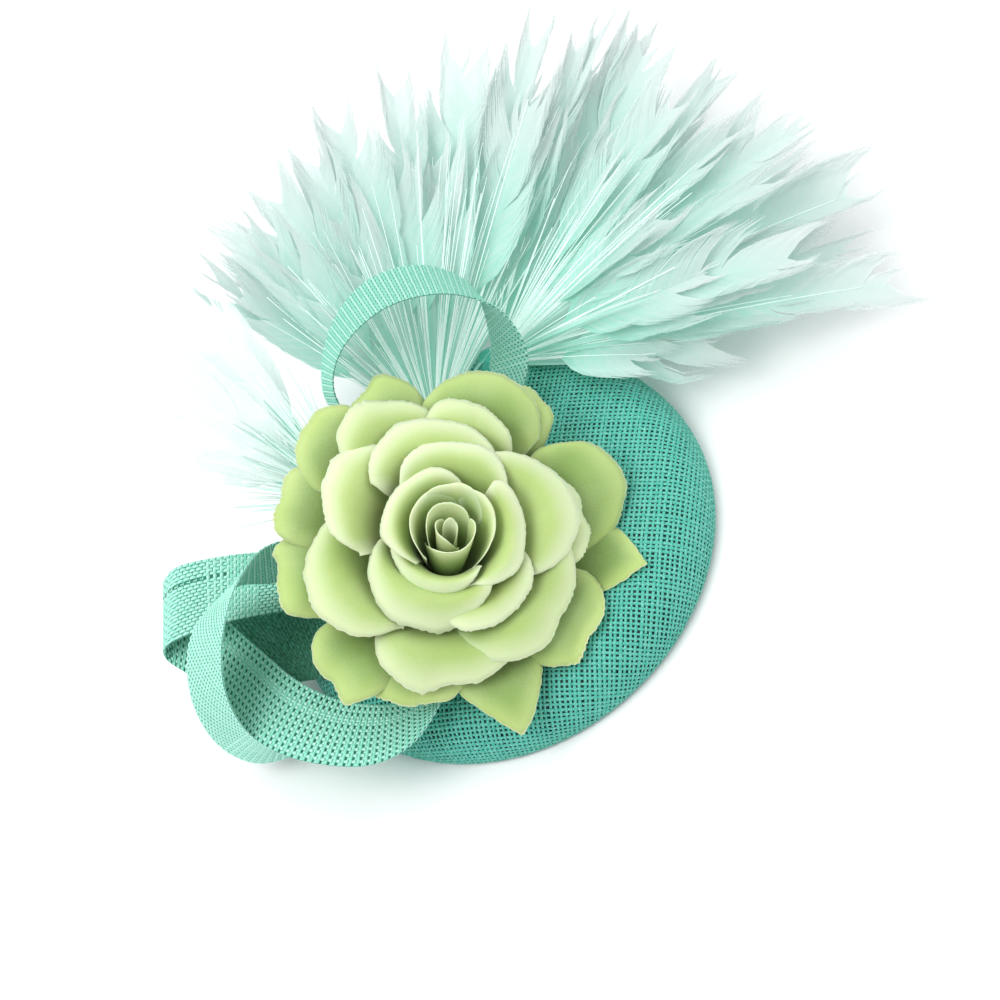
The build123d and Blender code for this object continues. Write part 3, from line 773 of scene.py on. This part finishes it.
def make_ribbon(name, pairs, threads):
    """One loop: its cloth, and its threads both ways."""
    size = sizes()
    band = Ribbon(pairs)
    pitch, width = size.ribbon_pitch / MM, size.ribbon_thread / MM
    ends = int(band.width / pitch)
    picks = int(band.length / pitch)

    bm = bmesh.new()
    steps = int(band.length / 2.5)
    bmesh.ops.create_grid(bm, x_segments=steps, y_segments=8, size=0.5)
    for v in bm.verts:
        v.co = band.at((v.co.x + 0.5) * band.length, v.co.y + 0.5, 0) * MM
    thickened(bm, RIBBON_CORE * MM)
    c = colours()
    # The cloth between the threads takes the painted loop shade colour, so the gaps read as shade
    inner = fibrous(name + " core", c.ribbon_loop_shade, c.thread, scale=900, drift=300, amount=0.5)[0]
    core = made(bm, name + "_core", inner)

    def shade_in_loop(share):
        """How much painted shade a thread gets at this share of the length: most inside the loop, and the ribbon's
        base shade elsewhere.
        """
        first, last = SHADED_SHARES[name]
        return max(BASE_SHADE[name], 0.92 * min(1.0, (first - share) * 25), 0.92 * min(1.0, (share - last) * 25))

    bm, corners, (loop_shade, thread_highlight) = strips(ends, 2 * picks, ("loop_shade", "thread_highlight"))
    for v, strip, step, side in corners:
        share = (strip + 0.5 + side * width / pitch / 2) / ends
        lift = WAVE * cos(pi * (step / 2 + strip))
        v.co = band.at(step / 2 * pitch, share, lift) * MM
        # Painted shade inside the loop, and a painted highlight where the thread lies on top
        v[loop_shade] = shade_in_loop(step / 2 / picks)
        v[thread_highlight] = 0.15 + 0.3 * (lift > 0)
    thickened(bm, RIBBON_THREAD * MM)
    warp = made(bm, name + "_warp", threads)

    bm, corners, (loop_shade, thread_highlight) = strips(picks, 2 * ends, ("loop_shade", "thread_highlight"))
    for v, strip, step, side in corners:
        # Painted shade inside the loop, and a painted highlight on every other pick
        v[loop_shade] = shade_in_loop(strip / picks)
        v[thread_highlight] = 0.3 + 0.3 * cos(2 * pi * strip * 0.5)
        lift = WAVE * cos(pi * (step / 2 + strip + 1.5))
        run = (strip + 0.5 + side * width / pitch / 2) * pitch
        v.co = band.at(run, step / (2 * ends), lift) * MM
    thickened(bm, RIBBON_THREAD * MM)
    weft = made(bm, name + "_weft", threads)
    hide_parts(name)


class HEADPIECE_OT_ribbons(bpy.types.Operator):
    """Three woven ribbon loops"""

    bl_idname = "headpiece.ribbons"
    bl_label = "Ribbon loops"

    def execute(self, context):
        threads = ribbon_material()
        for name, pairs in LOOPS.items():
            make_ribbon(name, pairs, threads)
        return {"FINISHED"}


# -------- rose


def rose_frame():
    """Foot of the rose and its three directions; the first points to the right of the front view."""
    up = leaned(*ROSE_AXIS).normalized()
    right = (IMAGE_RIGHT - up * IMAGE_RIGHT.dot(up)).normalized()
    foot = on_cap(ROSE_SEAT, BACKING)
    return foot, right, up.cross(right), up


def above_cap(point, gap):
    """The point, or the one in front of it that clears the cap."""
    radius = hypot(point.x, point.y)
    if radius > CAP_RADIUS - 0.5:
        return point
    low = crown_height(radius) + gap - point.z
    return point + VIEW * (low / VIEW.z) if low > 0 else point


def shape_petal(verts, row, stand, lean, seed, layers, green):
    """Lays a flat grid out as one cupped petal whose rim rolls outwards and comes to soft corners."""
    turn, reach, half, root, crest, rim, point, ruffle, lap = row
    foot, ax, ay, az = rose_frame()
    rng = random.Random(seed)
    phase, phase_b = rng.uniform(0, 6), rng.uniform(0, 6)
    skew = rng.uniform(-0.12, 0.12)
    fray = [rng.uniform(-0.006, 0.005) for _ in range(PETAL_ACROSS + 1)]
    start = 6.6 - 3.2 * (root - 5) / 21  # the hub is slimmer higher up
    # The petal's middle line is a curve from its root, up over its crest and out to its rim
    p0 = (start, root)
    p1 = (start + 0.62 * (stand * reach - start), root + 0.15 * (crest - root))
    p2 = (stand * reach, crest + 0.25 * (crest - rim) + 2)
    p3 = (reach, rim)
    for v in verts:
        u, t = v.co.x * 2, v.co.y + 0.5
        edge = min(1.0, abs(u - skew * t))
        power = 3.4 - 2.2 * point
        drop = 0.26 + 0.20 * point
        length = t * (1 - drop * edge**power)
        corner = 0.030 * (1 - abs(sin(1.9 * u + phase))) ** 3
        corner = corner + 0.020 * sin(3.4 * u + phase_b) + 0.006 * sin(11 * u + phase)
        length *= 1 + fray[round((u + 1) * PETAL_ACROSS / 2)] * t**20 + corner * t**3
        q = 1 - length
        r = q**3 * p0[0] + 3 * q * q * length * p1[0] + 3 * q * length**2 * p2[0] + length**3 * p3[0]
        z = q**3 * p0[1] + 3 * q * q * length * p1[1] + 3 * q * length**2 * p2[1] + length**3 * p3[1]
        wide = 0.5 + 0.5 * min(1.0, length * 1.5) ** 0.7
        angle = radians(turn + half * wide * u)
        wave = ruffle * length**3 * (0.65 * sin(2.2 * u + phase) + 0.35 * sin(5.4 * u + phase_b))
        curl = -0.11 * reach * max(0.0, edge - 0.45) ** 2 * length * min(1.0, reach / 40)
        vein = -0.25 * max(0.0, 1 - abs(u) * 8) * length
        roll = -0.035 * reach * max(0.0, t - 0.82) ** 2 / 0.03
        z += lap * u * min(1.0, 2 * length) + wave + curl + vein + roll
        r += 0.35 * wave
        spot = foot + ax * (r * cos(angle)) + ay * (r * sin(angle) - lean * (1 - min(1.0, length))) + az * z
        v.co = above_cap(spot, 1.0 + seed % 3) * MM
        to_side = (1 - abs(u)) * radians(half) * wide * max(r, 8) * min(1.0, 3 * t)
        to_edge = min((1 - t) * (reach - start), to_side)
        v[layers[0]] = max(0.0, 1 - to_edge / (1.3 + 0.16 * reach))
        # Painted shade: this value darkens each petal towards its root
        v[layers[1]] = max(0.0, 1 - length) ** 1.2 * 0.95
        v[layers[2]] = green


def petal_material():
    """Silk that pales towards its rim, with painted shade that darkens it towards its root."""
    c = colours()
    material, tree, fibres, _ = fibrous(
        "silk petal", c.petal, c.petal_rim, scale=2600, drift=55, amount=0.2, bump=0.3, depth=0.00012,
        Sheen_Weight=0.12, Specular_IOR_Level=0.2, Subsurface_Weight=0.12, Subsurface_Scale=0.002,
    )
    rim, deep, green = [painted(tree, name) for name in ("rim", "deep", "green")]
    base = blended(tree, green, c.petal, c.petal_green)
    pale = blended(tree, green, c.petal_rim, c.petal)
    spread = add(tree, "ShaderNodeMapRange", {0: rim, 1: 0.1, 2: 1.0}, interpolation_type="SMOOTHSTEP")
    tone = blended(tree, spread.outputs[0], base, pale)
    hem = add(tree, "ShaderNodeMapRange", {0: rim, 1: 0.94, 2: 1.0, 4: 0.55})
    worn = blended(tree, hem.outputs[0], tone, c.petal_hem)
    # Painted shade towards each petal's root
    dark = blended(tree, deep, worn, c.petal_root_shade)
    tree.links.new(dark, fibres.inputs["Colour"])
    return material


class HEADPIECE_OT_rose(bpy.types.Operator):
    """Silk rose: six rings of petals, its hub and its backing"""

    bl_idname = "headpiece.rose"
    bl_label = "Rose"

    def execute(self, context):
        material = petal_material()
        for ring, (name, (stand, green, lean, petals)) in enumerate(PETALS.items()):
            bm = bmesh.new()
            for key in ("rim", "deep", "green"):
                bm.verts.layers.float.new(key)
            layers = [bm.verts.layers.float[key] for key in ("rim", "deep", "green")]
            for i, row in enumerate(petals):
                grid = bmesh.ops.create_grid(bm, x_segments=PETAL_ACROSS, y_segments=PETAL_ALONG, size=0.5)
                shape_petal(grid["verts"], row, stand, lean, 31 * ring + i, layers, green)
            bmesh.ops.recalc_face_normals(bm, faces=bm.faces)
            piece = made(bm, "silk_" + name, material)
            thick = piece.modifiers.new("cloth", "SOLIDIFY")
            thick.thickness = sizes().petal
            thick.offset = 0
            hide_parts(name)
        c = colours()
        # The hub, deep in the rose, takes the painted root shade colour
        core = fibrous("rose core", c.petal_root_shade, c.petal, scale=900, amount=0.5)[0]
        finish_node("rose_hub", core)
        felt = fibrous(
            "backing felt", c.lining, c.thread_pale, scale=1300, amount=0.4, bump=0.7, depth=0.0004,
        )[0]
        finish_node("rose_backing", felt)
        return {"FINISHED"}


# -------- plumes


class Shaft:
    """The line of one plume's shaft."""

    def __init__(self, root, row, rng):
        turn, rise, self.length, self.width = row
        a, e = radians(turn), radians(rise)
        self.ahead = Vector((cos(a) * cos(e), sin(a) * cos(e), sin(e)))
        self.across = Vector((-sin(a), cos(a), 0))
        self.up = self.across.cross(self.ahead) * -1
        self.root = root
        self.bow = rng.uniform(-0.07, 0.07)
        self.tilt = rng.uniform(-0.5, 0.5)

    def at(self, share):
        start = KNOT_RADIUS * 0.6
        sag = share**2 * self.length
        level = self.root + self.ahead * (start + share * self.length)
        return level + self.across * (self.bow * sag) - Vector((0, 0, DROOP * sag))

    def sideways(self):
        return (self.across * cos(self.tilt) + self.up * sin(self.tilt)).normalized()


def shafts_piece(name, lines, material, reach=1.0):
    """Thin tapered shafts that end at the reach, a share of their lines."""
    steps = 10
    bm, corners, _ = strips(len(lines), steps)
    for v, strip, step, side in corners:
        line, width = lines[strip]
        share = step / steps
        half = width * (1 - SHAFT_TAPER * share) / 2
        v.co = (line.at(share * reach) + line.sideways() * (side * half)) * MM
    thickened(bm, SHAFT_THICK * MM)
    return made(bm, name, material)


def barbs_piece(name, lines, material):
    """Soft barbs on both sides of the shafts, in tufts that split from each other and end raggedly."""
    gap = sizes().barb_gap / MM
    plan = []
    for line in lines:
        rng = random.Random(round(line.length * 7 + line.ahead.x * 1000))
        across = line.sideways()
        over = across.cross(line.ahead)
        fluff = line.width * rng.uniform(0.8, 1.1)
        last = 1 - 1.15 * fluff / line.length
        count = int(line.length * (last - BARBS_BEGIN) / gap)
        for side in (-1, 1):
            j = 0
            while j < count:
                tuft = rng.randint(16, 62)
                share = (j + tuft / 2) / count
                swell = 0.55 + 0.75 * sin(pi * min(1.0, share * 0.85 + 0.1)) ** 0.8
                long = fluff * swell * rng.uniform(0.7, 1.15)
                lean = radians(rng.uniform(20, 36) - 12 * share)
                lift = rng.uniform(-0.12, 0.12)
                way = (line.ahead * cos(lean) + across * (side * sin(lean)) + over * lift).normalized()
                bend = rng.uniform(0.05, 0.2)
                for k in range(tuft):
                    if j + k > count:
                        break
                    s = BARBS_BEGIN + (last - BARBS_BEGIN) * (j + k) / count
                    inner = k / tuft
                    taper = 0.74 + 0.26 * sin(pi * (0.12 + 0.76 * inner)) + rng.uniform(-0.12, 0.07)
                    foot = line.at(s)
                    tip = foot + way * (long * 1.35 * taper) + over * rng.uniform(-0.5, 0.5)
                    tip = tip.lerp(line.at(s) + way * long * 1.35, 0.2)
                    plan.append((foot, tip, across * side, over, gap * rng.uniform(1.0, 1.7), s, bend, rng.random()))
                j += tuft
    steps = 3
    bm, corners, (tone, fleck, fringe) = strips(len(plan), steps, ("tone", "fleck", "fringe"))
    for v, strip, step, side in corners:
        foot, tip, outward, over, width, s, bend, chance = plan[strip]
        share = step / steps
        line = tip - foot
        bulge = outward * (line.length * bend * sin(pi * share))
        broad = width * (1 - SHAFT_TAPER * share**2) / 2
        edge = line.cross(over).normalized()
        v.co = (foot.lerp(tip, share) + bulge + edge * (broad * side)) * MM
        v[tone] = min(1.0, max(0.0, 1.1 * s - 0.3 + 0.35 * share))
        v[fleck] = chance
        v[fringe] = share
    return made(bm, name, material)


def blades_piece(name, blades, material):
    """Slim blades, widest near their middle."""
    steps = 6
    bm, corners, (tone, fleck) = strips(len(blades), steps, ("tone", "fleck"))
    for v, strip, step, side in corners:
        line, width, chance = blades[strip]
        share = step / steps
        half = width * (0.12 + 0.88 * sin(pi * (0.1 + 0.88 * share)) ** 0.7) / 2
        v.co = (line.at(share) + line.sideways() * (side * half)) * MM
        v[tone] = share * (0.35 + 0.5 * chance)
        v[fleck] = chance * 0.8
    return made(bm, name, material)


def plume_material(name, deep, root, tip):
    """Barbs that pale and thin towards the tips, let some light through, and glow a little as painted light."""
    material, tree, fibres, shader = fibrous(
        name, root, tip, scale=700, drift=30, amount=0.25, bump=0.1, Sheen_Weight=0.25,
    )
    tone, fleck, fringe = [painted(tree, name) for name in ("tone", "fleck", "fringe")]
    base = ramp(tree, tone, ((0.0, deep), (0.28, root), (0.8, tip), (1.0, tip)))
    pale = blended(tree, fleck, base, tip)
    share = add(tree, "ShaderNodeMath", {0: fleck, 1: 0.45}, operation="MULTIPLY").outputs[0]
    both = blended(tree, share, base, pale)
    tree.links.new(both, fibres.inputs["Colour"])
    body = add(tree, "ShaderNodeMapRange", {0: tone, 1: 0.1, 2: 1.0, 3: 0.92, 4: 0.55})
    edge = add(tree, "ShaderNodeMapRange", {0: fringe, 1: 0.45, 2: 1.0, 3: 1.0, 4: 0.45})
    sheer = add(tree, "ShaderNodeMath", {0: body.outputs[0], 1: edge.outputs[0]}, operation="MULTIPLY")
    tree.links.new(sheer.outputs[0], shader.inputs["Alpha"])
    # Painted light: the barbs glow in their own colour
    tree.links.new(fibres.outputs["Colour"], shader.inputs["Emission Color"])
    shader.inputs["Emission Strength"].default_value = 0.22  # painted glow that stands in for light coming through the thin barbs
    return material


def root_of(name, place):
    """Where a bundle of plumes springs from in its binding, and its own source of chance."""
    return on_cap(place) + Vector((0, 0, KNOT_SINK * KNOT_RADIUS)), random.Random(len(name) * 17 + int(place[0]))


def near_row(row, rng, turns, rises, shares):
    """A plume near another: its turn and rise are a few degrees off, and its length is a share of the other's."""
    turn, rise, long, wide = row
    return turn + rng.uniform(-turns, turns), max(2, rise + rng.uniform(*rises)), long * rng.uniform(*shares), wide


class HEADPIECE_OT_plumes(bpy.types.Operator):
    """Fans of plumes: bare shafts, soft barbs and stiff spikes"""

    bl_idname = "headpiece.plumes"
    bl_label = "Plumes"

    def execute(self, context):
        c = colours()
        soft = plume_material("plume barbs", c.plume_deep, c.plume, c.plume_tip)
        halfway = [(a + b) / 2 for a, b in zip(c.plume, c.plume_tip)]
        faint = plume_material("pale plume barbs", halfway, c.plume_pale, c.plume_pale)
        # Painted light: the shafts and spikes glow a little, so that they stay white in shade
        quill = fibrous(
            "plume shafts", (0.80, 0.97, 0.92), (0.97, 0.99, 0.98), scale=500, amount=0.6, bump=0.1,
            Emission_Strength=0.2, Emission_Color=(0.85, 0.97, 0.94, 1),
        )[0]
        for name, (place, rows) in PLUMES.items():
            root, rng = root_of(name, place)
            lines = []
            for row in rows:
                lines.append(Shaft(root, row, rng))
                for _ in range(SIDE_PLUMES):
                    lines.append(Shaft(root, near_row(row, rng, 4, (-5, 6), (0.6, 0.93)), rng))
            barbs = barbs_piece(name + "_barbs", lines, faint if name == "left_plumes" else soft)
            bare = [(line, SHAFT_WIDTH) for line in lines]
            blades = []
            for _ in range(len(rows) * LOOSE_PLUMES):
                spare = near_row(rng.choice(rows), rng, 6, (0, 14), (0.35, 0.84))
                bare.append((Shaft(root, spare, rng), rng.uniform(0.3, 0.7)))
                short = near_row(rng.choice(rows), rng, 7, (-6, 8), (0.30, 0.56))
                blades.append((Shaft(root, short, rng), rng.uniform(0.9, 2.4), rng.random()))
            blades_piece(name + "_blades", blades, soft)
            shafts_piece(name + "_shafts", bare, quill, reach=SHAFTS_END)
            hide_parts(name)
        root, rng = root_of("spikes", SPIKES_ROOT)
        lines = []
        for _ in range(SPIKES):
            turn, rise, long = [rng.uniform(*ends) for ends in SPIKE_RANGES[:3]]
            lines.append((Shaft(root, (turn, rise, long, 0), rng), rng.uniform(*SPIKE_RANGES[3])))
        spikes = shafts_piece("stiff_spikes", lines, quill)
        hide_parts("spikes")
        cord = fibrous("binding thread", c.thread, c.thread_pale, scale=1500, amount=0.5, bump=0.5)[0]
        for name in ("side_binding", "back_binding", "left_binding"):
            finish_node(name, cord)
        return {"FINISHED"}


# -------- clips


def node_copy(name):
    """A CAD node's mesh with its loose triangles joined up."""
    bm = bmesh.new()
    bm.from_mesh(frame["nodes"][name].data)
    bmesh.ops.remove_doubles(bm, verts=bm.verts, dist=0.00001)
    bmesh.ops.dissolve_limit(bm, angle_limit=0.02, verts=bm.verts, edges=bm.edges)
    bmesh.ops.recalc_face_normals(bm, faces=bm.faces)
    return bm


def make_spring(side, steel):
    """The leaf spring, whose upper leg stays on the base while its lower leg goes with the jaw."""
    hinge = next(j for j in frame["joints"] if j["name"] == f"{side}_clip_hinge")
    pin = Vector(hinge["pos_m"])
    reach = Vector((0, 0, SPRING_WRAP * MM))
    bm = node_copy(f"{side}_clip_spring")
    spring = made(bm, f"{side}_leaf_spring", steel, body=None, smooth=False)
    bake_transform(spring, "cap", f"{side}_jaw", start=pin + reach, end=pin - reach)
    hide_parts(f"{side}_clip_spring")


class HEADPIECE_OT_clips(bpy.types.Operator):
    """Steel hair clips, their felt pads and stitches"""

    bl_idname = "headpiece.clips"
    bl_label = "Hair clips"

    def execute(self, context):
        c = colours()
        steel, tree, shader = blank("clip steel")
        place = add(tree, "ShaderNodeTexCoord").outputs["Object"]
        brushed = add(tree, "ShaderNodeMapping", {"Vector": place, "Scale": (4000.0, 120.0, 4000.0)})
        grain = add(tree, "ShaderNodeTexNoise", {"Vector": brushed.outputs[0], "Scale": 1.0, "Detail": 2.0})
        rough = add(tree, "ShaderNodeMapRange", {0: grain.outputs[0], 3: 0.2, 4: 0.42})
        wear = add(tree, "ShaderNodeTexNoise", {"Vector": place, "Scale": 220.0, "Detail": 4.0})
        tint = ramp(tree, wear.outputs[0], ((0.3, c.steel), (0.75, (0.36, 0.37, 0.39))))
        relief = add(tree, "ShaderNodeBump", {"Strength": 0.1, "Distance": 0.0001, "Height": grain.outputs[0]})
        tree.links.new(tint, shader.inputs["Base Color"])
        tree.links.new(rough.outputs[0], shader.inputs["Roughness"])
        tree.links.new(relief.outputs[0], shader.inputs["Normal"])
        shader.inputs["Metallic"].default_value = 1.0
        felt = fibrous("felt pad", c.lining, c.thread_pale, scale=1300, amount=0.5, bump=0.9, depth=0.0004)[0]
        sewing = fibrous("sewing thread", c.thread, c.thread_pale, scale=2500, amount=0.5)[0]
        for side in ("left", "right"):
            for part in ("base", "jaw", "pin"):
                finish_node(f"{side}_clip_{part}", steel)
            make_spring(side, steel)
            finish_node(f"{side}_clip_stitches", sewing)
            bm = node_copy(f"{side}_clip_pad")
            sharp = [e for e in bm.edges if e.is_manifold and e.calc_face_angle() > 0.6]
            bmesh.ops.bevel(bm, geom=sharp, offset=0.35 * MM, segments=2, profile=0.5, affect="EDGES", material=-1)
            bmesh.ops.recalc_face_normals(bm, faces=bm.faces)
            pad = made(bm, f"{side}_felt_pad", felt, smooth=False)
            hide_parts(f"{side}_clip_pad")
        return {"FINISHED"}


# -------- panel


class HEADPIECE_PT_pieces(bpy.types.Panel):
    """Buttons for each group of pieces, with their sizes and colours"""

    bl_idname = "HEADPIECE_PT_pieces"
    bl_label = "Headpiece"
    bl_space_type = "VIEW_3D"
    bl_region_type = "UI"
    bl_category = "Headpiece"

    def draw(self, context):
        for operator in OPERATORS:
            self.layout.operator(operator.bl_idname)
        for values in (context.scene.headpiece_sizes, context.scene.headpiece_colours):
            box = self.layout.box()
            for key in values.__annotations__:
                box.prop(values, key)


OPERATORS = (
    HEADPIECE_OT_stage,
    HEADPIECE_OT_cap,
    HEADPIECE_OT_inside,
    HEADPIECE_OT_ribbons,
    HEADPIECE_OT_rose,
    HEADPIECE_OT_plumes,
    HEADPIECE_OT_clips,
)
CLASSES = (HeadpieceSizes, HeadpieceColours, *OPERATORS, HEADPIECE_PT_pieces)


def register():
    for kind in CLASSES:
        bpy.utils.register_class(kind)
    bpy.types.Scene.headpiece_sizes = bpy.props.PointerProperty(type=HeadpieceSizes)
    bpy.types.Scene.headpiece_colours = bpy.props.PointerProperty(type=HeadpieceColours)


def unregister():
    del bpy.types.Scene.headpiece_colours
    del bpy.types.Scene.headpiece_sizes
    for kind in reversed(CLASSES):
        bpy.utils.unregister_class(kind)


def main():
    register()
    bpy.ops.headpiece.stage()
    bpy.ops.headpiece.cap()
    bpy.ops.headpiece.inside()
    bpy.ops.headpiece.ribbons()
    bpy.ops.headpiece.rose()
    bpy.ops.headpiece.plumes()
    bpy.ops.headpiece.clips()


if __name__ == "__main__":
    main()
